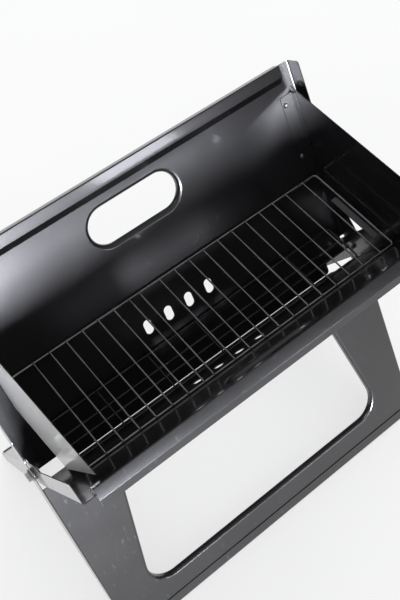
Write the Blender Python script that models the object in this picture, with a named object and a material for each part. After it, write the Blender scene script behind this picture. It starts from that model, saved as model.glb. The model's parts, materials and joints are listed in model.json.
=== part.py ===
"""Folding camp grill: two sheet-steel panels crossing on a pivot, racks and end panels.

Metres, +Z up, X along the long side, -Y the front. Origin at the centre of the
footprint on the floor. Drawn open, standing on its feet.
"""
import math

import bmesh
import bpy
from mathutils import Matrix, Vector

# ---- lean and pivot
TILT = math.radians(31.0)
SHEET = 0.001
WALL_OFF = 0.015
LEG_LEN = 0.266

# ---- panels (s runs along the panel from the pivot, n across it)
OUTER_HALF = 0.2310
INNER_HALF = 0.2276
WALL_TOP = 0.240
WALL_SIDE_TOP = 0.238
WALL_LOW_SIDE = 0.010
WALL_LOW_EAR = -0.010
SIDE_HALF = 0.2250
WALL_LOW_MID = -0.0244
MID_HALF = 0.195
FLANGE_REACH = 0.0132
FLANGE_TOP_REACH = 0.004
FLANGE_FULL_S = 0.090
FLANGE_NARROW = 0.0049
FLANGE_TAPER = 0.022
OUTER_FULL_S = 0.026
INNER_FULL_S = 0.045
FLANGE_FOOT_REACH = 0.003
CORNER_R = 0.006

# ---- top rim
RIM_HALF = 0.2145
RIM_SLOPE_S = 0.2185
RIM_STRIP_S = 0.2267
RIM_PROUD = 0.006
RIM_FLANGE = 0.012
RIM_DROOP = 0.002
RIM_LIP_OUT = 0.0065
RIM_LIP_DOWN = 0.004
RIM_GAP = 0.0005

# ---- hand slot and vents
SLOT_LEN = 0.110
SLOT_WIDTH = 0.042
SLOT_S = 0.185
SLOT_LIP = 0.007
VENT_LEN = 0.018
VENT_WIDTH = 0.010
VENT_PITCH = 0.028
VENT_S = 0.058
VENT_COUNT = 4

# ---- leg frame
EAR_TOP_S = -0.014
EAR_IN = 0.198
LEG_TOP_S = -0.028
CUT_TOP_HALF = 0.1456
CUT_LOW_HALF = 0.1839
CUT_LOW_S = -0.223
CUT_R = 0.028
CUT_LIP = 0.008
FOOT_DEPTH = 0.012

# ---- pivot hardware
GAP = 0.0003
BOLT_R = 0.003
BORE_R = 0.0033
HEAD_R = 0.0056
HEAD_H = 0.0035
HEAD_SINK = 0.0001
WASHER_R = 0.0070
OUTER_WASHER_H = 0.0010
NUT_R = 0.0058
NUT_H = 0.0040
BOLT_TAIL = 0.0010

# ---- racks
RACK_OFF = 0.0034
FRAME_R = 0.0013
CROSS_R = 0.0010
CROSS_SINK = 0.0006
COOK_HALF = 0.2065
COOK_SHIFT = 0.0100
COOK_Z = 0.0815
COOK_REACH = 0.1272
COOK_CROSS = 19
COOK_PITCH = 0.0200
COOK_STRAYS = {7: -0.007, 18: 0.006}
COOK_CORNER = 0.004
COAL_HALF = 0.2020
COAL_SHIFT = 0.0080
COAL_Z = 0.021
COAL_REACH = 0.0524
COAL_CROSS = 5
COAL_PITCH = 0.0673
COAL_CORNER = 0.004
COAL_MIDDLE = (0.42, 0.66)

# ---- end panels and their guides
END_X = 0.2236
END_SHEET = 0.0008
END_SINK = 0.0004
END_BACK_OFF = 0.0018
END_FRONT_OFF = 0.0080
END_TOP_S = 0.2112
END_LOW_Z = 0.058
END_LIP = 0.0040
END_LIP_FRONT = 0.0075
END_LIP_BACK = 0.0150
LOOSE_IN = 0.0155
LOOSE_BACK = 0.0050
LOOSE_TURN = math.radians(2.2)
GUIDE_LOW_S = 0.104
GUIDE_TOP_S = 0.204
GUIDE_TAB_S = 0.120
GUIDE_SHEET = 0.0008
GUIDE_DEPTH = 0.0080
GUIDE_IN = 0.2060
GUIDE_GAP = 0.0004
RIVET_X = 0.2100
RIVET_LOW_S = 0.130
RIVET_TOP_S = 0.194
RIVET_R = 0.0015
RIVET_BORE = 0.0018
RIVET_HEAD_R = 0.0030
RIVET_HEAD_H = 0.0012
RIVET_CROWN_R = 0.0012
RIVET_SHOULDER_R = 0.0026
RIVET_SHOULDER_H = 0.0007
RIVET_TAIL_R = 0.0024
RIVET_TAIL_H = 0.0009
RIVET_TAIL_FLAT_R = 0.0017
RIVET_TAIL_FLAT_H = 0.0004

# ---- facets
ARC = 8
CORNER_ARC = 4
WIRE_SIDES = 8
BOLT_SIDES = 16
HEX_SIDES = 6
OVERLAP = 0.0005
CUTTER_OVER = 0.004
MERGE = 1e-7
SMOOTH_ANGLE = math.radians(30.0)

PIVOT_Z = LEG_LEN * math.cos(TILT) - WALL_OFF * math.sin(TILT)
BACK = 1.0
FRONT = -1.0


def clear_scene():
    for obj in list(bpy.data.objects):
        bpy.data.objects.remove(obj, do_unlink=True)


def stand(obj, side):
    """Move a sheet drawn as (x, n, s) to its place; side is BACK for the wall that leans back."""
    along = Vector((0.0, side * math.sin(TILT), math.cos(TILT)))
    across = Vector((0.0, -side * math.cos(TILT), math.sin(TILT)))
    turn = Matrix(((1.0, 0.0, 0.0), across, along)).transposed().to_4x4()
    obj.data.transform(Matrix.Translation((0.0, 0.0, PIVOT_Z)) @ turn)
    if turn.determinant() < 0.0:
        obj.data.flip_normals()


def make_material(name, colour, rough, metal):
    mat = bpy.data.materials.new(name)
    mat.use_nodes = True
    shader = mat.node_tree.nodes["Principled BSDF"]
    shader.inputs["Base Color"].default_value = (*colour, 1.0)
    shader.inputs["Roughness"].default_value = rough
    shader.inputs["Metallic"].default_value = metal
    return mat


def enamel(name):
    return make_material(name, (0.010, 0.010, 0.012), 0.22, 0.0)


def plated(name):
    return make_material(name, (0.62, 0.62, 0.63), 0.25, 1.0)


def steel(name):
    return make_material(name, (0.55, 0.55, 0.54), 0.35, 1.0)


def object_from(name, bm, mat):
    bmesh.ops.remove_doubles(bm, verts=bm.verts, dist=MERGE)
    bmesh.ops.recalc_face_normals(bm, faces=bm.faces)
    mesh = bpy.data.meshes.new(name)
    bm.to_mesh(mesh)
    bm.free()
    obj = bpy.data.objects.new(name, mesh)
    bpy.context.scene.collection.objects.link(obj)
    if mat:
        mesh.materials.append(mat)
    return obj


def prism(bm, near, far):
    """Closed prism between two matching outlines."""
    near_verts = [bm.verts.new(p) for p in near]
    far_verts = [bm.verts.new(p) for p in far]
    bm.faces.new(near_verts)
    bm.faces.new(list(reversed(far_verts)))
    count = len(near)
    for i in range(count):
        j = (i + 1) % count
        bm.faces.new((near_verts[i], far_verts[i], far_verts[j], near_verts[j]))


def plate(name, outline, n_low, n_high, mat=None):
    """Flat plate: outline in (x, s), thickness from n_low to n_high."""
    bm = bmesh.new()
    prism(bm, [(x, n_low, s) for x, s in outline], [(x, n_high, s) for x, s in outline])
    return object_from(name, bm, mat)


def bar(name, outline, x_low, x_high, mat=None):
    """Prism along X: outline in (n, s)."""
    bm = bmesh.new()
    prism(bm, [(x_low, n, s) for n, s in outline], [(x_high, n, s) for n, s in outline])
    return object_from(name, bm, mat)


def turned(name, rings, axis_point, axis_dir, sides, mat=None):
    """Solid of revolution: rings of (radius, distance along the axis)."""
    bm = bmesh.new()
    turn = Vector(axis_dir).to_track_quat("Z", "Y").to_matrix().to_4x4()
    frame = Matrix.Translation(axis_point) @ turn
    loops = []
    for radius, along in rings:
        loop = []
        for i in range(sides):
            a = 2.0 * math.pi * i / sides
            loop.append(bm.verts.new(frame @ Vector((radius * math.cos(a), radius * math.sin(a), along))))
        loops.append(loop)
    for low, high in zip(loops, loops[1:]):
        for i in range(sides):
            j = (i + 1) % sides
            bm.faces.new((low[i], low[j], high[j], high[i]))
    bm.faces.new(loops[0])
    bm.faces.new(loops[-1])
    return object_from(name, bm, mat)


def apply_boolean(obj, other, operation):
    mod = obj.modifiers.new("bool", "BOOLEAN")
    mod.operation = operation
    mod.solver = "EXACT"
    mod.object = other
    graph = bpy.context.evaluated_depsgraph_get()
    mesh = bpy.data.meshes.new_from_object(obj.evaluated_get(graph), depsgraph=graph)
    obj.modifiers.remove(mod)
    old = obj.data
    obj.data = mesh
    bpy.data.meshes.remove(old)
    bpy.data.objects.remove(other, do_unlink=True)


def join(obj, others):
    for other in others:
        apply_boolean(obj, other, "UNION")


def cut(obj, others):
    for other in others:
        apply_boolean(obj, other, "DIFFERENCE")


def arc_points(cx, cs, radius, start, end, steps):
    pts = []
    for i in range(steps + 1):
        a = math.radians(start + (end - start) * i / steps)
        pts.append((cx + radius * math.cos(a), cs + radius * math.sin(a)))
    return pts


def obround(cx, cs, length_x, length_s):
    """Slot outline with full round ends, the longer side sets the direction."""
    radius = min(length_x, length_s) / 2.0
    dx = length_x / 2.0 - radius
    ds = length_s / 2.0 - radius
    if dx > ds:
        right = arc_points(cx + dx, cs, radius, -90.0, 90.0, 2 * ARC)
        return right + arc_points(cx - dx, cs, radius, 90.0, 270.0, 2 * ARC)
    upper = arc_points(cx, cs + ds, radius, 0.0, 180.0, ARC)
    return upper + arc_points(cx, cs - ds, radius, 180.0, 360.0, ARC)


def rounded(points, radii, steps=ARC):
    """Polygon in (x, s) with its corners rounded by the given radii."""
    out = []
    count = len(points)
    for i, radius in enumerate(radii):
        here = Vector(points[i])
        if radius <= 0.0:
            out.append(tuple(here))
            continue
        back = (Vector(points[i - 1]) - here).normalized()
        ahead = (Vector(points[(i + 1) % count]) - here).normalized()
        half = back.angle(ahead) / 2.0
        reach = radius / math.tan(half)
        centre = here + (back + ahead).normalized() * (radius / math.sin(half))
        start = here + back * reach - centre
        sweep = start.angle_signed(here + ahead * reach - centre)
        for k in range(steps + 1):
            spun = start.copy()
            spun.rotate(Matrix.Rotation(-sweep * k / steps, 2))
            out.append(tuple(centre + spun))
    return out


def wall_outline(half):
    """Wall sheet below the rim, with square shoulders either side of the rim."""
    pts = [
        (-half, WALL_LOW_SIDE), (-SIDE_HALF, WALL_LOW_SIDE), (-SIDE_HALF, WALL_LOW_EAR),
        (-MID_HALF, WALL_LOW_EAR), (-MID_HALF, WALL_LOW_MID), (MID_HALF, WALL_LOW_MID),
        (MID_HALF, WALL_LOW_EAR), (SIDE_HALF, WALL_LOW_EAR), (SIDE_HALF, WALL_LOW_SIDE),
        (half, WALL_LOW_SIDE),
        (half, WALL_SIDE_TOP), (RIM_HALF + RIM_GAP, WALL_SIDE_TOP),
        (RIM_HALF + RIM_GAP, RIM_SLOPE_S), (-RIM_HALF - RIM_GAP, RIM_SLOPE_S),
        (-RIM_HALF - RIM_GAP, WALL_SIDE_TOP), (-half, WALL_SIDE_TOP),
    ]
    return rounded(pts, [0, 0, 0, 0, CORNER_R, CORNER_R] + [0] * 10, CORNER_ARC)


def thicken(line, depth):
    """Closed outline of a folded sheet: the line and its copy moved to the line's left."""
    moved = []
    last = len(line) - 1
    for i, point in enumerate(line):
        here = Vector(point)
        ways = []
        if i > 0:
            ways.append((here - Vector(line[i - 1])).normalized())
        if i < last:
            ways.append((Vector(line[i + 1]) - here).normalized())
        sides = [Vector((-way.y, way.x)) for way in ways]
        middle = sum(sides, Vector((0.0, 0.0))).normalized()
        moved.append(tuple(here + middle * (depth / middle.dot(sides[0]))))
    return list(line) + moved[::-1]


def rim_profile():
    """Folded rim in (n, s): slope inwards, upright strip, drooping flange, lip turned down."""
    wall = -WALL_OFF
    strip = wall + RIM_PROUD
    edge = strip - RIM_FLANGE
    fold_s = WALL_TOP - RIM_DROOP
    line = [
        (wall, RIM_SLOPE_S - SHEET), (wall, RIM_SLOPE_S), (strip, RIM_STRIP_S), (strip, WALL_TOP),
        (edge, fold_s), (edge - RIM_LIP_OUT, fold_s - RIM_LIP_DOWN),
    ]
    return thicken(line, SHEET)


def flange_profile(full_s):
    """Side flange in (n, s) joining wall and leg; above full_s it narrows."""
    w = WALL_OFF
    return [
        (-w - SHEET, WALL_SIDE_TOP), (-w - SHEET, WALL_LOW_SIDE), (-FLANGE_REACH, WALL_LOW_SIDE),
        (-FLANGE_REACH, -FLANGE_FULL_S), (FLANGE_FOOT_REACH, foot_s(FLANGE_FOOT_REACH)),
        (w, foot_s(w)), (w, EAR_TOP_S), (FLANGE_REACH, EAR_TOP_S),
        (FLANGE_REACH, full_s), (FLANGE_NARROW, full_s + FLANGE_TAPER),
        (FLANGE_TOP_REACH, WALL_SIDE_TOP),
    ]


def foot_s(n):
    """Distance along the panel where it meets the floor, at offset n."""
    return -(PIVOT_Z + n * math.sin(TILT)) / math.cos(TILT)


def leg_outline(half):
    """Leg frame sheet: two strips and a bottom bar around a wide opening."""
    low = foot_s(WALL_OFF - SHEET)
    pts = [
        (half, low), (half, EAR_TOP_S), (EAR_IN, EAR_TOP_S), (EAR_IN, LEG_TOP_S),
        (CUT_TOP_HALF, LEG_TOP_S), (CUT_LOW_HALF, CUT_LOW_S), (-CUT_LOW_HALF, CUT_LOW_S),
        (-CUT_TOP_HALF, LEG_TOP_S), (-EAR_IN, LEG_TOP_S), (-EAR_IN, EAR_TOP_S),
        (-half, EAR_TOP_S), (-half, low),
    ]
    return rounded(pts, [0, 0, 0, 0, 0, CUT_R, CUT_R, 0, 0, 0, 0, 0])


def lip_outline():
    """Thin band following the edge of the leg opening."""
    edge = [
        (CUT_TOP_HALF, LEG_TOP_S), (CUT_LOW_HALF, CUT_LOW_S),
        (-CUT_LOW_HALF, CUT_LOW_S), (-CUT_TOP_HALF, LEG_TOP_S),
    ]
    inner = rounded(edge, [0, CUT_R, CUT_R, 0])
    slope = (CUT_LOW_HALF - CUT_TOP_HALF) / (LEG_TOP_S - CUT_LOW_S)
    wide = SHEET * math.hypot(1.0, slope)
    side = [
        (CUT_TOP_HALF + wide, LEG_TOP_S),
        (CUT_LOW_HALF + wide + SHEET * slope, CUT_LOW_S - SHEET),
        (-CUT_LOW_HALF - wide - SHEET * slope, CUT_LOW_S - SHEET),
        (-CUT_TOP_HALF - wide, LEG_TOP_S),
    ]
    outer = rounded(side, [0, CUT_R + SHEET, CUT_R + SHEET, 0])
    return inner + list(reversed(outer))


def foot_profile():
    """Foot flange in (n, s): folded flat to the floor behind the leg sheet."""
    lift = SHEET / math.cos(TILT)
    deep = WALL_OFF - FOOT_DEPTH
    return [
        (WALL_OFF, foot_s(WALL_OFF)), (deep, foot_s(deep)),
        (deep, foot_s(deep) + lift), (WALL_OFF, foot_s(WALL_OFF) + lift),
    ]


def build_panel(name, side, half, full_s, rivet_signs):
    """One crossing panel: wall, rim, side flanges, leg frame and foot as one sheet."""
    n_out = -WALL_OFF - SHEET
    body = plate(name, wall_outline(half), n_out, -WALL_OFF, enamel(name + "_enamel"))
    parts = [bar("rim", rim_profile(), -RIM_HALF, RIM_HALF)]
    parts.append(bar("flange_a", flange_profile(full_s), half - SHEET, half))
    parts.append(bar("flange_b", flange_profile(full_s), -half, -half + SHEET))
    parts.append(plate("leg", leg_outline(half), WALL_OFF - SHEET, WALL_OFF))
    parts.append(bar("foot", foot_profile(), -half + OVERLAP, half - OVERLAP))
    parts.append(plate("lip", lip_outline(), WALL_OFF - CUT_LIP, WALL_OFF - OVERLAP))
    collar = obround(0.0, SLOT_S, SLOT_LEN + 2.0 * SHEET, SLOT_WIDTH + 2.0 * SHEET)
    parts.append(plate("collar", collar, n_out - SLOT_LIP, -WALL_OFF - OVERLAP))
    join(body, parts)
    cutters = [plate("slot", obround(0.0, SLOT_S, SLOT_LEN, SLOT_WIDTH),
                     n_out - SLOT_LIP - CUTTER_OVER, -WALL_OFF + CUTTER_OVER)]
    for i in range(VENT_COUNT):
        x = (i - (VENT_COUNT - 1) / 2.0) * VENT_PITCH
        cutters.append(plate("vent", obround(x, VENT_S, VENT_WIDTH, VENT_LEN),
                             n_out - CUTTER_OVER, -WALL_OFF + CUTTER_OVER))
    for sign in (1.0, -1.0):
        rings = [(BORE_R, -CUTTER_OVER), (BORE_R, CUTTER_OVER)]
        cutters.append(turned("bore", rings, (sign * half, 0.0, 0.0), (1.0, 0.0, 0.0), BOLT_SIDES))
    cut(body, cutters)
    drill_rivets(body, rivet_signs)
    stand(body, side)
    return body


def pivot_set(side_name, sign):
    """Bolt, outer washer, spacer washer and nut of one pivot."""
    centre = Vector((0.0, 0.0, PIVOT_Z))
    out = Vector((sign, 0.0, 0.0))
    washer_x = OUTER_HALF + GAP
    head_x = washer_x + OUTER_WASHER_H + GAP
    nut_x = INNER_HALF - SHEET - GAP
    tail_x = nut_x - NUT_H - BOLT_TAIL
    bolt = turned("pivot_bolt_" + side_name, [(BOLT_R, tail_x), (BOLT_R, head_x)], centre, out,
                  BOLT_SIDES, steel("pivot_bolt_" + side_name + "_steel"))
    head = turned("head", [(HEAD_R, head_x - HEAD_SINK), (HEAD_R, head_x + HEAD_H)], centre, out, HEX_SIDES)
    join(bolt, [head])
    pieces = [bolt]
    pieces.append(ring("pivot_washer_" + side_name, washer_x, washer_x + OUTER_WASHER_H,
                       WASHER_R, centre, out, BOLT_SIDES))
    pieces.append(ring("pivot_spacer_" + side_name, INNER_HALF + GAP, OUTER_HALF - SHEET - GAP,
                       WASHER_R, centre, out, BOLT_SIDES))
    pieces.append(ring("pivot_nut_" + side_name, nut_x - NUT_H, nut_x, NUT_R, centre, out, HEX_SIDES))
    return pieces


def ring(name, low, high, radius, centre, out, sides):
    """Washer or nut with its bore, between two distances along the axis."""
    body = turned(name, [(radius, low), (radius, high)], centre, out, sides, steel(name + "_steel"))
    rings = [(BORE_R, low - CUTTER_OVER), (BORE_R, high + CUTTER_OVER)]
    cut(body, [turned("bore", rings, centre, out, BOLT_SIDES)])
    return body


def wire(name, start, end, radius):
    start = Vector(start)
    run = Vector(end) - start
    return turned(name, [(radius, 0.0), (radius, run.length)], start, run, WIRE_SIDES)


def loop_wire(name, path, radius, mat):
    """Closed wire swept round a level path of points."""
    bm = bmesh.new()
    count = len(path)
    loops = []
    for i in range(count):
        before = Vector(path[i - 1])
        here = Vector(path[i])
        after = Vector(path[(i + 1) % count])
        along = ((here - before).normalized() + (after - here).normalized()).normalized()
        flat = Vector((along.y, -along.x, 0.0))
        loop = []
        for k in range(WIRE_SIDES):
            a = 2.0 * math.pi * (k + 0.5) / WIRE_SIDES
            spoke = flat * (radius * math.cos(a)) + Vector((0.0, 0.0, radius * math.sin(a)))
            loop.append(bm.verts.new(here + spoke))
        loops.append(loop)
    for i in range(count):
        low = loops[i]
        high = loops[(i + 1) % count]
        for k in range(WIRE_SIDES):
            j = (k + 1) % WIRE_SIDES
            bm.faces.new((low[k], low[j], high[j], high[k]))
    return object_from(name, bm, mat)


def cross_wires(count, pitch, strays):
    """Places of the cross wires about the middle; strays holds those welded off the pitch."""
    return [(i - (count - 1) / 2.0) * pitch + strays.get(i, 0.0) for i in range(count)]


def rack(name, half, shift, height, reach, corner, cross_spots, middle):
    """Welded wire rack: frame loop with cross wires lying on it, pushed along X by shift."""
    z = PIVOT_Z + height
    n = -WALL_OFF + RACK_OFF
    s = (height - n * math.sin(TILT)) / math.cos(TILT)
    y_back = s * math.sin(TILT) - n * math.cos(TILT)
    y_front = y_back - reach
    left = shift - half
    right = shift + half
    corners = [(right, y_front), (right, y_back), (left, y_back), (left, y_front)]
    path = [(x, y, z) for x, y in rounded(corners, [corner] * 4, CORNER_ARC)]
    body = loop_wire(name, path, FRAME_R, plated(name + "_chrome"))
    lift = z + FRAME_R + CROSS_R - CROSS_SINK
    parts = []
    for spot in cross_spots:
        x = shift + spot
        parts.append(wire("cross", (x, y_front, lift), (x, y_back, lift), CROSS_R))
    for share in middle:
        y = y_back - reach * share
        parts.append(wire("long", (left, y, z), (right, y, z), FRAME_R))
    join(body, parts)
    move_origin(body, (0.0, y_back, z))
    return body


def end_corners(back_gap):
    """Corners (y, z) of an end panel: top back, top front, low front, low back."""
    n_back = -WALL_OFF + END_BACK_OFF
    n_front = -WALL_OFF + END_FRONT_OFF
    top_z = END_TOP_S * math.cos(TILT) + n_back * math.sin(TILT)
    pts = []
    for z, n, side in ((top_z, n_back + back_gap, BACK), (top_z, n_front, FRONT),
                       (END_LOW_Z, n_front, FRONT), (END_LOW_Z, n_back + back_gap, BACK)):
        s = (z - n * math.sin(TILT)) / math.cos(TILT)
        pts.append((side * (s * math.sin(TILT) - n * math.cos(TILT)), PIVOT_Z + z))
    return pts


def end_panel(side_name, sign, inset, back_gap, turn):
    """Trapezoid sheet closing one end of the trough, with a lip along its low edge."""
    pts = end_corners(back_gap)
    name = "end_panel_" + side_name
    bm = bmesh.new()
    prism(bm, [(0.0, y, z) for y, z in pts], [(-sign * END_SHEET, y, z) for y, z in pts])
    body = object_from(name, bm, enamel(name + "_enamel"))
    low_front, low_back = pts[2], pts[3]
    y_a = low_front[0] + END_LIP_FRONT
    y_b = low_back[0] - END_LIP_BACK
    z_a = low_back[1]
    z_b = z_a + END_SHEET
    x_tip = -sign * (END_SHEET + END_LIP)
    x_root = -sign * END_SINK
    bm = bmesh.new()
    outline = [(y_a, z_a), (y_b, z_a), (y_b, z_b), (y_a, z_b)]
    prism(bm, [(x_tip, y, z) for y, z in outline], [(x_root, y, z) for y, z in outline])
    join(body, [object_from("lip", bm, None)])
    move_origin(body, (0.0, low_back[0], low_back[1]))
    body.location.x = sign * (END_X - inset)
    body.rotation_euler.z = turn
    return body


def end_guide(side_name, sign):
    """Channel on the back wall holding the back edge of one end panel."""
    name = "end_guide_" + side_name
    base = -WALL_OFF + GAP
    top = base + GUIDE_SHEET
    tip = base + GUIDE_DEPTH
    in_wall = END_X - END_SHEET - GUIDE_GAP
    out_wall = END_X + GUIDE_GAP
    section = [
        (in_wall - GUIDE_SHEET, base), (out_wall + GUIDE_SHEET, base), (out_wall + GUIDE_SHEET, tip),
        (out_wall, tip), (out_wall, top), (in_wall, top), (in_wall, tip), (in_wall - GUIDE_SHEET, tip),
    ]
    bm = bmesh.new()
    near = [(sign * x, n, GUIDE_LOW_S) for x, n in section]
    far = [(sign * x, n, GUIDE_TOP_S) for x, n in section]
    prism(bm, near, far)
    body = object_from(name, bm, enamel(name + "_enamel"))
    tab = [(GUIDE_IN, GUIDE_TAB_S), (in_wall, GUIDE_TAB_S), (in_wall, GUIDE_TOP_S), (GUIDE_IN, GUIDE_TOP_S)]
    join(body, [plate("tab", [(sign * x, s) for x, s in tab], base, top)])
    drill_rivets(body, (sign,))
    stand(body, BACK)
    return body


def guide_rivet(name, sign, s):
    """Domed rivet through guide and wall."""
    spot = (sign * RIVET_X, -WALL_OFF, s)
    head = GAP + GUIDE_SHEET + GAP
    tail = -SHEET - GAP
    rings = [
        (RIVET_TAIL_FLAT_R, tail - RIVET_TAIL_H), (RIVET_TAIL_R, tail - RIVET_TAIL_FLAT_H),
        (RIVET_TAIL_R, tail), (RIVET_R, tail), (RIVET_R, head), (RIVET_HEAD_R, head),
        (RIVET_SHOULDER_R, head + RIVET_SHOULDER_H), (RIVET_CROWN_R, head + RIVET_HEAD_H),
    ]
    body = turned(name, rings, spot, (0.0, 1.0, 0.0), BOLT_SIDES, steel(name + "_steel"))
    stand(body, BACK)
    return body


def drill_rivets(sheet, signs):
    for sign in signs:
        for s in (RIVET_LOW_S, RIVET_TOP_S):
            spot = (sign * RIVET_X, -WALL_OFF, s)
            rings = [(RIVET_BORE, -CUTTER_OVER), (RIVET_BORE, CUTTER_OVER)]
            cut(sheet, [turned("bore", rings, spot, (0.0, 1.0, 0.0), BOLT_SIDES)])


def move_origin(obj, point):
    point = Vector(point)
    obj.data.transform(Matrix.Translation(-point))
    obj.location = point


def finish(obj):
    obj.data.shade_smooth()
    obj.data.set_sharp_from_angle(angle=SMOOTH_ANGLE)


def main():
    clear_scene()
    outer = build_panel("outer_panel", BACK, OUTER_HALF, OUTER_FULL_S, (1.0, -1.0))
    inner = build_panel("inner_panel", FRONT, INNER_HALF, INNER_FULL_S, ())
    move_origin(inner, (0.0, 0.0, PIVOT_Z))
    pieces = [outer, inner]
    for side_name, sign in (("left", -1.0), ("right", 1.0)):
        pieces += pivot_set(side_name, sign)
        pieces.append(end_guide(side_name, sign))
        pieces.append(guide_rivet("guide_rivet_lower_" + side_name, sign, RIVET_LOW_S))
        pieces.append(guide_rivet("guide_rivet_upper_" + side_name, sign, RIVET_TOP_S))
    pieces.append(end_panel("right", 1.0, 0.0, 0.0, 0.0))
    pieces.append(end_panel("left", -1.0, LOOSE_IN, LOOSE_BACK, LOOSE_TURN))
    pieces.append(rack("cooking_grate", COOK_HALF, COOK_SHIFT, COOK_Z, COOK_REACH, COOK_CORNER,
                       cross_wires(COOK_CROSS, COOK_PITCH, COOK_STRAYS), ()))
    pieces.append(rack("charcoal_grate", COAL_HALF, COAL_SHIFT, COAL_Z, COAL_REACH, COAL_CORNER,
                       cross_wires(COAL_CROSS, COAL_PITCH, {}), COAL_MIDDLE))
    for obj in pieces:
        finish(obj)


main()
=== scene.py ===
"""Looks of the folding camp grill: gloss enamel sheet, chromed wire grates, plated hardware."""

import json
import math

import bmesh
import bpy
from mathutils import Matrix, Vector


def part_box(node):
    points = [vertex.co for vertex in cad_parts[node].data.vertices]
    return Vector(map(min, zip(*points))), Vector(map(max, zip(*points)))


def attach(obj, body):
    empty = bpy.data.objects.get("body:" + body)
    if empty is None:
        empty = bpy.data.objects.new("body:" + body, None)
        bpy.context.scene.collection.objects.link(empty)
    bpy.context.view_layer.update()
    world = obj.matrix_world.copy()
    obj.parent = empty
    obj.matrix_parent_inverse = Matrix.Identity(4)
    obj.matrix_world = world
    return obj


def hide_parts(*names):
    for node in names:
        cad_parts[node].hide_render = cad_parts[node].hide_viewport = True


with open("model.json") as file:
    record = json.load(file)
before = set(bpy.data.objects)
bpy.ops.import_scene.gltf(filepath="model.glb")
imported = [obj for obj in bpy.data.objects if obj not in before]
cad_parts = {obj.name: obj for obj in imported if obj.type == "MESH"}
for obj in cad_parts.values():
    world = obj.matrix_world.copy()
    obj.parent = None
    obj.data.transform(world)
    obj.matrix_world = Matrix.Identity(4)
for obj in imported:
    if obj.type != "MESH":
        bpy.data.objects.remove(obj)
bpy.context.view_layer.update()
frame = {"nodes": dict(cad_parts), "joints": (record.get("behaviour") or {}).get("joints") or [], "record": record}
NODES = frame["nodes"]

# ---- camera
CAM_SPOT = Vector((-0.298, -0.404, 1.119))
CAM_AZIMUTH = math.radians(-38.8)
CAM_ELEVATION = math.radians(57.6)
CAM_ROLL = math.radians(-0.8)
CAM_SENSOR = 36.0
CAM_LENS = 55.0
CAM_SHIFT = (-0.0373, -0.0023)


def place_camera():
    back = Vector((
        math.sin(CAM_AZIMUTH) * math.cos(CAM_ELEVATION),
        -math.cos(CAM_AZIMUTH) * math.cos(CAM_ELEVATION),
        math.sin(CAM_ELEVATION),
    ))
    level = Vector((math.cos(CAM_AZIMUTH), math.sin(CAM_AZIMUTH), 0.0))
    rise = back.cross(level)
    right = level * math.cos(CAM_ROLL) + rise * math.sin(CAM_ROLL)
    up = rise * math.cos(CAM_ROLL) - level * math.sin(CAM_ROLL)
    data = bpy.data.cameras.new("camera")
    data.sensor_width = CAM_SENSOR
    data.lens = CAM_LENS
    data.shift_x = CAM_SHIFT[0]
    data.shift_y = CAM_SHIFT[1]
    camera = bpy.data.objects.new("camera", data)
    turn = Matrix((right, up, back)).transposed().to_4x4()
    camera.matrix_world = Matrix.Translation(CAM_SPOT) @ turn
    bpy.context.scene.collection.objects.link(camera)
    bpy.context.scene.camera = camera


# ---- finishes
SCRATCH_TURN = (0.4, 0.2, 0.9)
SCRATCH_STRETCH = (260.0, 9.0, 120.0)
# painted reflection: the enamel's base colour is painted pale at low view angles, standing in for the floor's
# reflection on the left end panel
PAINTED_SHEEN_STARTS = 0.54
PAINTED_SHEEN_FULL = 0.66
PAINTED_SHEEN_LEVEL = 0.9
PAINTED_SHEEN_COLOUR = (0.9, 0.9, 0.9)
ENAMEL_DARK = (0.0030, 0.0030, 0.0036)
ENAMEL_LIGHT = (0.0052, 0.0052, 0.0062)
ENAMEL_COAT = 0.75
CHROME_TONES = (0.26, 0.42)
SHADED_TONES = (0.05, 0.10)
CHROME_WARMTH = (1.0, 0.92, 0.84)
ZINC_DARK = (0.42, 0.42, 0.40)
ZINC_LIGHT = (0.60, 0.59, 0.56)


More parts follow.
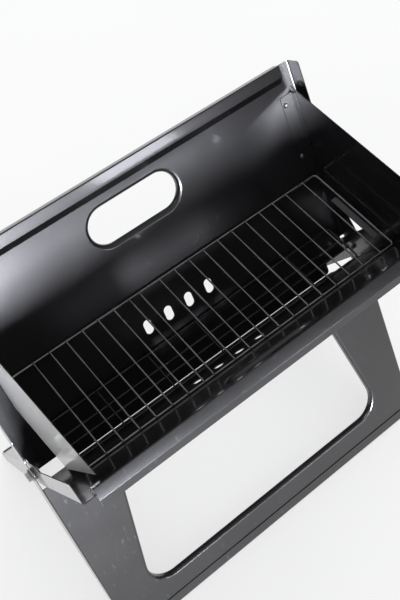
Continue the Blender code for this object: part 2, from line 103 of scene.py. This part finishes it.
class Graph:
    """Short way to write a material's nodes."""

    def __init__(self, name):
        self.material = bpy.data.materials.new(name)
        self.material.use_nodes = True
        self.tree = self.material.node_tree
        self.shader = self.tree.nodes["Principled BSDF"]

    def node(self, kind, **settings):
        made = self.tree.nodes.new(kind)
        for key, value in settings.items():
            setattr(made, key, value)
        return made

    def link(self, source, target):
        self.tree.links.new(source, target)

    def place(self):
        return self.node("ShaderNodeTexCoord").outputs["Object"]

    def noise(self, vector, scale, detail):
        made = self.node("ShaderNodeTexNoise")
        made.inputs["Scale"].default_value = scale
        made.inputs["Detail"].default_value = detail
        self.link(vector, made.inputs["Vector"])
        return made.outputs["Fac"]

    def span(self, source, low, high, out_low, out_high):
        made = self.node("ShaderNodeMapRange")
        made.inputs["From Min"].default_value = low
        made.inputs["From Max"].default_value = high
        made.inputs["To Min"].default_value = out_low
        made.inputs["To Max"].default_value = out_high
        self.link(source, made.inputs["Value"])
        return made.outputs["Result"]

    def add(self, first, second):
        made = self.node("ShaderNodeMath", operation="ADD")
        self.link(first, made.inputs[0])
        self.link(second, made.inputs[1])
        return made.outputs["Value"]

    def scratches(self, vector, level):
        """Thin long marks: stretched noise, kept only near one value."""
        made = self.node("ShaderNodeMapping")
        made.inputs["Rotation"].default_value = SCRATCH_TURN
        made.inputs["Scale"].default_value = SCRATCH_STRETCH
        self.link(vector, made.inputs["Vector"])
        return self.span(self.noise(made.outputs["Vector"], 1.0, 2.0), 0.66, 0.70, 0.0, level)

    def blend(self, share, first, second):
        """Mix towards a fixed colour; first is an output."""
        made = self.node("ShaderNodeMix", data_type="RGBA")
        self.link(share, made.inputs["Factor"])
        self.link(first, made.inputs["A"])
        made.inputs["B"].default_value = (*second, 1.0)
        return made.outputs["Result"]

    def mix(self, share, first, second):
        made = self.node("ShaderNodeMix", data_type="RGBA")
        self.link(share, made.inputs["Factor"])
        made.inputs["A"].default_value = (*first, 1.0)
        made.inputs["B"].default_value = (*second, 1.0)
        return made.outputs["Result"]

    def seen_low(self, level):
        """Rises from 0 to level as the view turns from 63 to 70 degrees off square."""
        made = self.node("ShaderNodeLayerWeight")
        made.inputs["Blend"].default_value = 0.5
        return self.span(made.outputs["Facing"], PAINTED_SHEEN_STARTS, PAINTED_SHEEN_FULL, 0.0, level)

    def bump(self, height, strength, distance, normal=None):
        made = self.node("ShaderNodeBump")
        made.inputs["Strength"].default_value = strength
        made.inputs["Distance"].default_value = distance
        self.link(height, made.inputs["Height"])
        if normal:
            self.link(normal, made.inputs["Normal"])
        return made.outputs["Normal"]

    def set(self, **values):
        for key, value in values.items():
            socket = self.shader.inputs[key.replace("_", " ")]
            if hasattr(value, "is_output"):
                self.link(value, socket)
            else:
                socket.default_value = value


def enamel_material(name, haze_and_sheen=0.0):
    """Gloss black enamel: a broad sheen under a clear gloss, slight orange peel, dust nibs and scuffs.

    The second argument sets a painted reflection: how far the base colour is painted pale when the surface is seen
    at a low angle.
    """
    g = Graph(name)
    spot = g.place()
    cloud = g.noise(spot, 11.0, 4.0)
    peel = g.noise(spot, 260.0, 2.0)
    nibs = g.noise(spot, 1900.0, 1.0)
    scuff = g.scratches(spot, 0.9)
    rough = g.add(g.span(cloud, 0.3, 0.7, 0.28, 0.33), g.span(scuff, 0.0, 1.0, 0.0, 0.10))
    tone = g.mix(g.span(cloud, 0.3, 0.7, 0.0, 1.0), ENAMEL_DARK, ENAMEL_LIGHT)
    skin = g.bump(peel, 0.10, 0.0002, g.bump(g.span(nibs, 0.72, 0.80, 0.0, 1.0), 0.25, 0.00004))
    g.set(
        # painted reflection: base colour painted pale at low view angles
        Base_Color=g.blend(g.seen_low(haze_and_sheen), tone, PAINTED_SHEEN_COLOUR),
        Roughness=rough,
        Normal=skin,
        IOR=1.5,
        Coat_Weight=ENAMEL_COAT,
        Coat_Roughness=g.span(cloud, 0.3, 0.7, 0.05, 0.10),
        Coat_Normal=skin,
    )
    return g.material


def chrome_material(name, tones):
    """Chromed wire: grey between two tones, a little hazy, with warmer patches and fine pitting."""
    low, high = tones
    warm = tuple(high * part for part in CHROME_WARMTH)
    g = Graph(name)
    spot = g.place()
    haze_and_sheen = g.noise(spot, 45.0, 4.0)
    patch = g.noise(spot, 9.0, 2.0)
    pits = g.noise(spot, 1500.0, 2.0)
    tone = g.mix(g.span(haze_and_sheen, 0.35, 0.65, 0.0, 1.0), (low, low, low), (high, high, high))
    g.set(
        Base_Color=g.blend(g.span(patch, 0.55, 0.75, 0.0, 0.35), tone, warm),
        Metallic=1.0,
        Roughness=g.span(haze_and_sheen, 0.3, 0.7, 0.20, 0.34),
        Normal=g.bump(pits, 0.15, 0.0001),
    )
    return g.material


def plated_material():
    """Zinc plating: matt grey with a cloudy grain."""
    g = Graph("plated_finish")
    spot = g.place()
    haze_and_sheen = g.noise(spot, 160.0, 3.0)
    grain = g.noise(spot, 3000.0, 2.0)
    g.set(
        Base_Color=g.mix(g.span(haze_and_sheen, 0.35, 0.65, 0.0, 1.0), ZINC_DARK, ZINC_LIGHT),
        Metallic=1.0,
        Roughness=g.span(haze_and_sheen, 0.3, 0.7, 0.28, 0.44),
        Normal=g.bump(grain, 0.2, 0.0001),
    )
    return g.material


FINISHES = {
    "black_enamel": enamel_material("black_enamel_finish"),
    "chromed_wire": chrome_material("chrome_finish", CHROME_TONES),
    "plated_steel": plated_material(),
}
# enamel with a painted pale reflection at low view angles
SHEEN_PAINTED_ENAMEL = enamel_material("sheen_painted_enamel_finish", PAINTED_SHEEN_LEVEL)
SHADED_WIRE = chrome_material("shaded_chrome_finish", SHADED_TONES)
EDGE_BEVEL = 0.0003
EDGE_SEGMENTS = 2
BEVELLED = ("end_", "pivot_", "guide_")
ENAMELLED = []


def dress(obj, slot):
    obj.data.materials.clear()
    obj.data.materials.append(FINISHES[slot])
    if slot == "black_enamel":
        ENAMELLED.append(obj)


def soften_edges(obj):
    bevel = obj.modifiers.new("edges", "BEVEL")
    bevel.width = EDGE_BEVEL
    bevel.segments = EDGE_SEGMENTS
    bevel.limit_method = "ANGLE"
    bevel.harden_normals = True


def dress_nodes():
    for part in frame["record"]["subparts"]:
        obj = NODES[part["node"]]
        dress(obj, part["material_slot"])
        if part["node"].startswith(BEVELLED):
            soften_edges(obj)


SMOOTH_ANGLE = math.radians(38.0)


def object_from(name, bm):
    mesh = bpy.data.meshes.new(name)
    bm.to_mesh(mesh)
    bm.free()
    obj = bpy.data.objects.new(name, mesh)
    bpy.context.scene.collection.objects.link(obj)
    return obj


def soften(obj):
    """Sharp creases by angle; flat sheet faces stay flat, which set_sharp_from_angle forgets."""
    smooth = [face.use_smooth for face in obj.data.polygons]
    obj.data.set_sharp_from_angle(angle=SMOOTH_ANGLE)
    obj.data.polygons.foreach_set("use_smooth", smooth)


# ---- panel geometry in metres; s runs up along the sheet from the pivot, n across it
PIVOT_Z = frame["joints"][0]["pos_m"][2]
TILT = math.radians(31.0)
OUTER_HALF = 0.2310
INNER_HALF = 0.2276
SHEET = 0.001
WALL_OFF = 0.015
WALL_TOP = 0.240
SHOULDER_TOP = 0.238
WALL_LOW_SIDE = 0.010
WALL_LOW_EAR = -0.010
SIDE_HALF = 0.2250
WALL_LOW_MID = -0.0244
MID_HALF = 0.195
FLANGE_REACH = 0.0132
FLANGE_TOP_REACH = 0.004
FLANGE_FULL_S = 0.090
FLANGE_NARROW = 0.0049
FLANGE_TAPER = 0.022
OUTER_FULL_S = 0.026
INNER_FULL_S = 0.045
FLANGE_FOOT_REACH = 0.003
RIM_HALF = 0.2145
RIM_SLOPE_S = 0.2185
RIM_STRIP_S = 0.2267
RIM_PROUD = 0.006
RIM_FLANGE = 0.012
RIM_DROOP = 0.002
RIM_LIP_OUT = 0.0065
RIM_LIP_DOWN = 0.004
SLOT_LENGTH = 0.110
SLOT_WIDTH = 0.042
SLOT_S = 0.185
SLOT_DEPTH = 0.0065  # the solid's slot edge is 0.5 mm deeper
SLOT_ROLL = 0.0045
VENT_LENGTH = 0.018
VENT_WIDTH = 0.010
VENT_PITCH = 0.028
VENT_S = 0.058
VENT_COUNT = 4
EAR_TOP_S = -0.014
EAR_IN = 0.198
LEG_TOP_S = -0.028
CUT_TOP_HALF = 0.1456
CUT_LOW_HALF = 0.1839
CUT_LOW_S = -0.223
CUT_R = 0.028
CUT_DEPTH = 0.008
CUT_ROLL = 0.0035
FOOT_DEPTH = 0.012
BEND = 0.0022
RIM_BEND = 0.0012
BORE_R = 0.0033
RIVET_HOLE_R = 0.0018
RIVET_SPOTS = [(sign * 0.2100, s) for sign in (-1.0, 1.0) for s in (0.130, 0.194)]
EAR_CORNER = 0.002
STEP_CORNER = 0.004
FLANGE_LOW_ARC = 0.02
FLANGE_FOOT_ARC = 0.002
FLANGE_HIP_ARC = 0.008
FLANGE_WAIST_ARC = 0.012
FLANGE_TOP_ARC = 0.003
ARC_STEPS = 10
BEND_STEPS = 6
HOLE_SIDES = 16
WELDED_POINTS = 1e-7


def arc(centre, radius, start, end, steps):
    points = []
    for i in range(steps + 1):
        angle = math.radians(start + (end - start) * i / steps)
        points.append((centre[0] + radius * math.cos(angle), centre[1] + radius * math.sin(angle)))
    return points


def obround(centre, length_x, length_s):
    """Slot with round ends; its long straight sides run along x or along s."""
    radius = min(length_x, length_s) / 2.0
    dx = length_x / 2.0 - radius
    ds = length_s / 2.0 - radius
    cx, cs = centre
    if dx > ds:
        return (arc((cx + dx, cs), radius, -90.0, 90.0, 2 * ARC_STEPS)
                + arc((cx - dx, cs), radius, 90.0, 270.0, 2 * ARC_STEPS))
    return (arc((cx, cs + ds), radius, 0.0, 180.0, ARC_STEPS)
            + arc((cx, cs - ds), radius, 180.0, 360.0, ARC_STEPS))


def rounded(points, radii, steps=ARC_STEPS, closed=True):
    """A polygon or an open line with its corners turned into arcs."""
    out = []
    count = len(points)
    for i, radius in enumerate(radii):
        here = Vector(points[i])
        end = not closed and i in (0, count - 1)
        if radius <= 0.0 or end:
            out.append(tuple(here))
            continue
        back = (Vector(points[i - 1]) - here).normalized()
        ahead = (Vector(points[(i + 1) % count]) - here).normalized()
        half = back.angle(ahead) / 2.0
        centre = here + (back + ahead).normalized() * (radius / math.sin(half))
        reach = radius / math.tan(half)
        start = here + back * reach - centre
        sweep = start.angle_signed(here + ahead * reach - centre)
        for k in range(steps + 1):
            spun = start.copy()
            spun.rotate(Matrix.Rotation(-sweep * k / steps, 2))
            out.append(tuple(centre + spun))
    return out


def foot_s(n):
    """Distance along the panel where it meets the floor, at offset n."""
    return -(PIVOT_Z + n * math.sin(TILT)) / math.cos(TILT)


def add_sheet(bm, outline, holes, place, low, high):
    """Flat sheet with holes. place(u, v, t) gives the point, t runs from low to high."""
    sides = []
    older = set(bm.faces)
    for t in (low, high):
        loops = []
        edges = []
        for ring in [outline] + holes:
            verts = [bm.verts.new(place(u, v, t)) for u, v in ring]
            loops.append(verts)
            for i, vert in enumerate(verts):
                edges.append(bm.edges.new((vert, verts[(i + 1) % len(verts)])))
        bmesh.ops.triangle_fill(bm, use_beauty=True, use_dissolve=False, edges=edges)
        sides.append(loops)
    for near, far in zip(*sides):
        for i in range(len(near)):
            j = (i + 1) % len(near)
            bm.faces.new((near[i], near[j], far[j], far[i]))
    for face in set(bm.faces) - older:
        face.smooth = False


def add_loft(bm, rings, place, closed_path):
    """Skin over closed rings of matching points (u, v, t); an open path gets end caps."""
    rows = [[bm.verts.new(place(*point)) for point in ring] for ring in rings]
    last = len(rows) if closed_path else len(rows) - 1
    for i in range(last):
        low = rows[i]
        high = rows[(i + 1) % len(rows)]
        for k in range(len(low)):
            j = (k + 1) % len(low)
            bm.faces.new((low[k], low[j], high[j], high[k])).smooth = True
    if not closed_path:
        bm.faces.new(rows[0])
        bm.faces.new(rows[-1])


def add_prism(bm, section, place, low, high):
    """Section (u, v) swept from t = low to t = high, with caps."""
    add_loft(bm, [[(u, v, t) for u, v in section] for t in (low, high)], place, False)


def as_wall(x, s, n):
    return (x, n, s)


def as_section(n, s, x):
    return (x, n, s)


def as_is(x, y, z):
    return (x, y, z)


def add_roll(bm, edge, roll, depth, face, closed):
    """Edge turned towards -n from n = face. edge(offset) gives the outline grown by offset."""
    section = []
    for k in range(BEND_STEPS + 1):
        a = math.radians(90.0 * k / BEND_STEPS)
        section.append((roll * (1.0 - math.sin(a)), roll * (1.0 - math.cos(a))))
    section.append((0.0, depth))
    section.append((SHEET, depth))
    inner = roll - SHEET
    for k in range(BEND_STEPS, -1, -1):
        a = math.radians(90.0 * k / BEND_STEPS)
        section.append((roll - inner * math.sin(a), roll - inner * math.cos(a)))
    loops = [edge(offset) for offset, deep in section]
    rings = []
    for i in range(len(loops[0])):
        ring = []
        for (offset, deep), loop in zip(section, loops):
            ring.append((loop[i][0], loop[i][1], face - deep))
        rings.append(ring)
    add_loft(bm, rings, as_wall, closed)


def cut_edge(offset):
    """Leg opening grown by offset, as an open line from the right top to the left top."""
    slope = (CUT_LOW_HALF - CUT_TOP_HALF) / (LEG_TOP_S - CUT_LOW_S)
    wide = offset * math.hypot(1.0, slope)
    right = [(CUT_TOP_HALF + wide, LEG_TOP_S), (CUT_LOW_HALF + wide + offset * slope, CUT_LOW_S - offset)]
    left = [(-x, s) for x, s in reversed(right)]
    return rounded(right + left, [0.0, CUT_R + offset, CUT_R + offset, 0.0], closed=False)


def thicken(line, depth):
    """Closed outline of a folded sheet: the line and its copy moved to the line's left."""
    moved = []
    last = len(line) - 1
    for i, point in enumerate(line):
        here = Vector(point)
        ways = []
        if i > 0:
            ways.append((here - Vector(line[i - 1])).normalized())
        if i < last:
            ways.append((Vector(line[i + 1]) - here).normalized())
        sides = [Vector((-way.y, way.x)) for way in ways]
        middle = sum(sides, Vector((0.0, 0.0))).normalized()
        moved.append(tuple(here + middle * (depth / middle.dot(sides[0]))))
    return list(line) + moved[::-1]


def rim_section():
    """Rim: slope inwards, upright strip, flange drooping outwards and a lip turned down."""
    wall = -WALL_OFF
    strip = wall + RIM_PROUD
    edge = strip - RIM_FLANGE
    fold_s = WALL_TOP - RIM_DROOP
    line = [
        (wall, RIM_SLOPE_S - RIM_STRIP_S + RIM_SLOPE_S), (wall, RIM_SLOPE_S), (strip, RIM_STRIP_S),
        (strip, WALL_TOP), (edge, fold_s), (edge - RIM_LIP_OUT, fold_s - RIM_LIP_DOWN),
    ]
    bends = [0.0, RIM_BEND, RIM_BEND, RIM_BEND, RIM_BEND, 0.0]
    return thicken(rounded(line, bends, BEND_STEPS, closed=False), SHEET)


def slot_edge(offset):
    return obround((0.0, SLOT_S), SLOT_LENGTH + 2.0 * offset, SLOT_WIDTH + 2.0 * offset)


def vent_holes():
    """The row of vents low in each wall."""
    holes = []
    for i in range(VENT_COUNT):
        x = (i - (VENT_COUNT - 1) / 2.0) * VENT_PITCH
        holes.append(obround((x, VENT_S), VENT_WIDTH, VENT_LENGTH))
    return holes


def round_hole(u, v, radius):
    return arc((u, v), radius, 0.0, 360.0 - 360.0 / HOLE_SIDES, HOLE_SIDES - 1)


def wall_sheet(bm, half, rivet_spots):
    """Wall of the trough: the plate with its holes, the slot's turned edge and the stepped rim."""
    side = half - BEND
    rim_low = RIM_SLOPE_S - (RIM_STRIP_S - RIM_SLOPE_S)
    outline = rounded([
        (-side, WALL_LOW_SIDE), (-SIDE_HALF, WALL_LOW_SIDE), (-SIDE_HALF, WALL_LOW_EAR),
        (-MID_HALF, WALL_LOW_EAR), (-MID_HALF, WALL_LOW_MID), (MID_HALF, WALL_LOW_MID),
        (MID_HALF, WALL_LOW_EAR), (SIDE_HALF, WALL_LOW_EAR), (SIDE_HALF, WALL_LOW_SIDE),
        (side, WALL_LOW_SIDE),
        (side, SHOULDER_TOP), (RIM_HALF, SHOULDER_TOP), (RIM_HALF, rim_low),
        (-RIM_HALF, rim_low), (-RIM_HALF, SHOULDER_TOP), (-side, SHOULDER_TOP),
    ], [0, 0, 0, EAR_CORNER, STEP_CORNER, STEP_CORNER, EAR_CORNER] + [0] * 9)
    holes = [slot_edge(SLOT_ROLL)] + vent_holes()
    holes += [round_hole(x, s, RIVET_HOLE_R) for x, s in rivet_spots]
    add_sheet(bm, outline, holes, as_wall, -WALL_OFF - SHEET, -WALL_OFF)
    add_roll(bm, slot_edge, SLOT_ROLL, SLOT_DEPTH, -WALL_OFF, True)
    add_prism(bm, rim_section(), as_section, -RIM_HALF, RIM_HALF)


def corner_bend(bm, half, sign, face, away, low, high):
    """Rounded fold between a plate whose outer face is at n = face and a side flange."""
    centre = (sign * (half - BEND), face + away * BEND)
    ends = []
    for radius in (BEND, BEND - SHEET):
        side = []
        for k in range(BEND_STEPS + 1):
            a = math.radians(90.0 * k / BEND_STEPS)
            side.append((centre[0] + sign * radius * math.sin(a), centre[1] - away * radius * math.cos(a)))
        ends.append(side)
    section = ends[0] + ends[1][::-1]
    add_loft(bm, [[(x, n, s) for x, n in section] for s in (low, high)], as_is, False)


def side_flange(bm, half, full_s, sign):
    """Flange along one side, from shoulder to foot, with the pivot's bore and its two folds."""
    wall_n = -WALL_OFF - SHEET + BEND
    leg_n = WALL_OFF - BEND
    outline = [
        (wall_n, SHOULDER_TOP), (wall_n, WALL_LOW_SIDE), (-FLANGE_REACH, WALL_LOW_SIDE),
        (-FLANGE_REACH, -FLANGE_FULL_S), (FLANGE_FOOT_REACH, foot_s(FLANGE_FOOT_REACH)),
        (leg_n, foot_s(leg_n)), (leg_n, EAR_TOP_S), (FLANGE_REACH, EAR_TOP_S),
        (FLANGE_REACH, full_s), (FLANGE_NARROW, full_s + FLANGE_TAPER),
        (FLANGE_TOP_REACH, SHOULDER_TOP),
    ]
    radii = [0, 0, 0, FLANGE_LOW_ARC, FLANGE_FOOT_ARC, 0, 0, 0]
    radii += [FLANGE_HIP_ARC, FLANGE_WAIST_ARC, FLANGE_TOP_ARC]
    outline = rounded(outline, radii, BEND_STEPS)
    low = min(sign * half, sign * (half - SHEET))
    add_sheet(bm, outline, [round_hole(0.0, 0.0, BORE_R)], as_section, low, low + SHEET)
    corner_bend(bm, half, sign, -WALL_OFF - SHEET, 1.0, WALL_LOW_SIDE, SHOULDER_TOP)
    corner_bend(bm, half, sign, WALL_OFF, -1.0, foot_s(WALL_OFF - BEND), EAR_TOP_S)


def leg_sheet(bm, half):
    """Leg frame: the plate around the opening, the opening's turned edge and the foot flange."""
    side = half - BEND
    low = foot_s(WALL_OFF) + BEND
    right = [(side, low), (side, EAR_TOP_S), (EAR_IN, EAR_TOP_S), (EAR_IN, LEG_TOP_S)]
    left = [(-x, s) for x, s in reversed(right)]
    add_sheet(bm, right + cut_edge(CUT_ROLL) + left, [], as_wall, WALL_OFF - SHEET, WALL_OFF)
    add_roll(bm, cut_edge, CUT_ROLL, CUT_DEPTH, WALL_OFF, False)
    deep = WALL_OFF - FOOT_DEPTH
    fold = [(WALL_OFF, low + SHEET), (WALL_OFF, foot_s(WALL_OFF)), (deep, foot_s(deep))]
    section = thicken(rounded(fold, [0.0, BEND, 0.0], BEND_STEPS, closed=False), -SHEET)
    add_prism(bm, section, as_section, -side, side)


def panel_skin(name, node, body, facing, half, full_s, rivet_spots):
    """One folded panel with rounded bends. facing is 1 for the wall that leans back."""
    bm = bmesh.new()
    wall_sheet(bm, half, rivet_spots)
    for sign in (-1.0, 1.0):
        side_flange(bm, half, full_s, sign)
    leg_sheet(bm, half)
    along = Vector((0.0, facing * math.sin(TILT), math.cos(TILT)))
    across = Vector((0.0, -facing * math.cos(TILT), math.sin(TILT)))
    turn = Matrix(((1.0, 0.0, 0.0), across, along)).transposed().to_4x4()
    bmesh.ops.transform(bm, matrix=Matrix.Translation((0.0, 0.0, PIVOT_Z)) @ turn, verts=bm.verts)
    bmesh.ops.remove_doubles(bm, verts=bm.verts, dist=WELDED_POINTS)
    bmesh.ops.recalc_face_normals(bm, faces=bm.faces)
    skin = object_from(name, bm)
    soften(skin)
    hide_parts(node)
    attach(skin, body)
    dress(skin, "black_enamel")


# ---- wire grates
WIRE_SIDES = 16
TIP_REACH = 0.5
TIP_SHARE = 0.6
FRAME_R = 0.0013
CROSS_R = 0.0010
CROSS_SINK = 0.0006
WELD_R = 0.0015
WELD_SIDES = 10
WELD_LATITUDES = (-60.0, -20.0, 20.0, 60.0)
WELD_FLATNESS = 0.7
LONG_WIRE_SHARE = 0.98
GRATE_CORNER = 0.004
COOK_WIRES = 19
COOK_PITCH = 0.0200
COOK_STRAYS = {7: -0.007, 18: 0.006}
COAL_WIRES = 5
COAL_PITCH = 0.0673
COAL_MIDDLE = (0.42, 0.66)


def add_tube(bm, path, radius, closed):
    """Round wire along a path; an open one gets slightly domed ends."""
    points = [Vector(p) for p in path]
    count = len(points)
    rows = []
    for i, here in enumerate(points):
        before = points[i - 1] if closed or i else here
        after = points[(i + 1) % count] if closed or i < count - 1 else here
        along = (after - before).normalized()
        side = along.cross(Vector((0.0, 0.0, 1.0))).normalized()
        rise = side.cross(along)
        rows.append([tuple(here + side * (radius * math.cos(a)) + rise * (radius * math.sin(a)))
                     for a in (2.0 * math.pi * k / WIRE_SIDES for k in range(WIRE_SIDES))])
    if not closed:
        for end in (0, -1):
            along = (points[end] - points[1 if end == 0 else -2]).normalized()
            cap = [tuple(points[end] + along * (radius * TIP_REACH) + (Vector(p) - points[end]) * TIP_SHARE)
                   for p in rows[end]]
            if end == 0:
                rows.insert(0, cap)
            else:
                rows.append(cap)
    add_loft(bm, rows, as_is, closed)


def add_weld(bm, spot, reach):
    """Small flattened bead where two wires are welded."""
    rows = []
    for latitude in WELD_LATITUDES:
        a = math.radians(latitude)
        row = []
        for k in range(WELD_SIDES):
            b = 2.0 * math.pi * k / WELD_SIDES
            x = spot[0] + reach * math.cos(a) * math.cos(b)
            y = spot[1] + reach * math.cos(a) * math.sin(b)
            row.append((x, y, spot[2] + reach * WELD_FLATNESS * math.sin(a)))
        rows.append(row)
    add_loft(bm, rows, as_is, False)


def cross_wires(count, pitch, strays):
    """Places of the cross wires about the middle; strays moves those welded off the pitch."""
    return [(i - (count - 1) / 2.0) * pitch + strays.get(i, 0.0) for i in range(count)]


def wire_grate(name, node, body, cross_spots, middle):
    """Welded grate: frame loop, cross wires on top of it and long wires inside it."""
    low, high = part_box(node)
    centre = (low[0] + high[0]) / 2.0
    left, right = low[0] + FRAME_R, high[0] - FRAME_R
    front, back = low[1] + FRAME_R, high[1] - FRAME_R
    z = low[2] + FRAME_R
    lift = z + FRAME_R + CROSS_R - CROSS_SINK
    bm = bmesh.new()
    loop = rounded([(right, front), (right, back), (left, back), (left, front)], [GRATE_CORNER] * 4)
    add_tube(bm, [(x, y, z) for x, y in loop], FRAME_R, True)
    for share in middle:
        y = back + (front - back) * share
        add_tube(bm, [(left, y, z), (right, y, z)], FRAME_R * LONG_WIRE_SHARE, False)
    for spot in cross_spots:
        x = centre + spot
        add_tube(bm, [(x, front, lift), (x, back, lift)], CROSS_R, False)
        for y in [front, back] + [back + (front - back) * share for share in middle]:
            add_weld(bm, (x, y, z + FRAME_R - CROSS_SINK / 2.0), WELD_R)
    bmesh.ops.recalc_face_normals(bm, faces=bm.faces)
    grate = object_from(name, bm)
    soften(grate)
    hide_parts(node)
    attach(grate, body)
    dress(grate, "chromed_wire")
    return grate


# ---- floor, sky and lamps
FLOOR_HALF = 6.0
FLOOR_COLOUR = (0.30, 0.30, 0.30, 1.0)
FLOOR_GLOW = (0.60, 0.64)
FLOOR_GLOSS = 0.1
SKY_COLOUR = (0.97, 0.98, 1.0, 1.0)
SKY_MATT = 0.86
SKY_LOW = 0.02
SKY_HIGH = 0.50
SKY_DARK_BELOW = 0.15
SKY_FULL_ABOVE = 0.95
WHITE = (1.0, 1.0, 1.0)
COOL = (0.90, 0.91, 1.0)
# lamp name, place, target, size and power in watts
OVERHEAD = ("overhead", (0.5, 0.9, 2.6), (0.0, 0.1, 0.0), (2.6, 2.6), 30.0)
ENAMEL_LAMPS = (
    ("front_box", (-0.52, -2.2, 0.97), (-0.15, 0.1, 0.38), (1.0, 0.42), 330.0),
    ("side_box", (0.88, -2.2, 1.00), (0.05, 0.1, 0.38), (0.35, 0.5), 9.0),
    ("top_box", (-1.1, 1.3, 2.4), (0.0, 0.0, 0.35), (0.9, 0.9), 14.0),
)


def make_floor():
    mesh = bpy.data.meshes.new("floor")
    corners = [(-FLOOR_HALF, -FLOOR_HALF, 0), (FLOOR_HALF, -FLOOR_HALF, 0),
               (FLOOR_HALF, FLOOR_HALF, 0), (-FLOOR_HALF, FLOOR_HALF, 0)]
    mesh.from_pydata(corners, [], [(0, 1, 2, 3)])
    floor = bpy.data.objects.new("floor", mesh)
    bpy.context.scene.collection.objects.link(floor)
    g = Graph("floor_paint")
    tone = g.span(g.noise(g.place(), 1.3, 2.0), 0.3, 0.7, *FLOOR_GLOW)
    g.set(
        Base_Color=FLOOR_COLOUR,
        Roughness=0.9,
        Specular_IOR_Level=FLOOR_GLOSS,
        Emission_Color=(*WHITE, 1.0),
        Emission_Strength=tone,
    )
    mesh.materials.append(g.material)


def area_light(name, spot, target, size, power, colour):
    """Lamp at spot aimed at target, kept out of reflections unless enamel_only shows it there."""
    data = bpy.data.lights.new(name, "AREA")
    data.shape = "RECTANGLE"
    data.size, data.size_y = size
    data.energy = power
    data.color = colour
    lamp = bpy.data.objects.new(name, data)
    lamp.visible_glossy = False
    aim = Vector(spot) - Vector(target)
    lamp.matrix_world = Matrix.Translation(spot) @ aim.to_track_quat("Z", "Y").to_matrix().to_4x4()
    bpy.context.scene.collection.objects.link(lamp)
    return lamp


def sky():
    """White to matt surfaces; to glossy ones a dark room that brightens overhead."""
    world = bpy.data.worlds.new("studio")
    bpy.context.scene.world = world
    world.use_nodes = True
    tree = world.node_tree
    plain = tree.nodes["Background"]
    plain.inputs["Color"].default_value = SKY_COLOUR
    plain.inputs["Strength"].default_value = SKY_MATT
    seen = tree.nodes.new("ShaderNodeBackground")
    way = tree.nodes.new("ShaderNodeTexCoord")
    split = tree.nodes.new("ShaderNodeSeparateXYZ")
    ramp = tree.nodes.new("ShaderNodeMapRange")
    path = tree.nodes.new("ShaderNodeLightPath")
    mixer = tree.nodes.new("ShaderNodeMixShader")
    ramp.inputs["From Min"].default_value = SKY_DARK_BELOW
    ramp.inputs["From Max"].default_value = SKY_FULL_ABOVE
    ramp.inputs["To Min"].default_value = SKY_LOW
    ramp.inputs["To Max"].default_value = SKY_HIGH
    link = tree.links.new
    link(way.outputs["Generated"], split.inputs["Vector"])
    link(split.outputs["Z"], ramp.inputs["Value"])
    link(ramp.outputs["Result"], seen.inputs["Strength"])
    link(path.outputs["Is Glossy Ray"], mixer.inputs["Fac"])
    link(plain.outputs["Background"], mixer.inputs[1])
    link(seen.outputs["Background"], mixer.inputs[2])
    link(mixer.outputs["Shader"], tree.nodes["World Output"].inputs["Surface"])


def enamel_only(lamp, pieces):
    """Keeps the lamp's sheen on the sheets, without sparks on the wires or a hot spot on the floor."""
    group = bpy.data.collections.new(lamp.name + "_receivers")
    for piece in pieces:
        group.objects.link(piece)
    lamp.light_linking.receiver_collection = group
    lamp.visible_diffuse = False
    lamp.visible_glossy = True


def light_scene():
    sky()
    area_light(*OVERHEAD, WHITE)
    for settings in ENAMEL_LAMPS:
        enamel_only(area_light(*settings, COOL), ENAMELLED)
    bpy.context.scene.view_settings.view_transform = "Standard"


place_camera()
dress_nodes()
panel_skin("outer_panel_skin", "outer_panel", "outer_frame", 1.0, OUTER_HALF, OUTER_FULL_S, RIVET_SPOTS)
panel_skin("inner_panel_skin", "inner_panel", "inner_frame", -1.0, INNER_HALF, INNER_FULL_S, [])
wire_grate("cooking_grate_wires", "cooking_grate", "cooking_rack",
           cross_wires(COOK_WIRES, COOK_PITCH, COOK_STRAYS), ())
coals = wire_grate("charcoal_grate_wires", "charcoal_grate", "charcoal_rack",
                   cross_wires(COAL_WIRES, COAL_PITCH, {}), COAL_MIDDLE)
coals.data.materials[0] = SHADED_WIRE
# the left end panel gets the enamel with a painted pale reflection at low view angles
NODES["end_panel_left"].data.materials[0] = SHEEN_PAINTED_ENAMEL
make_floor()
light_scene()
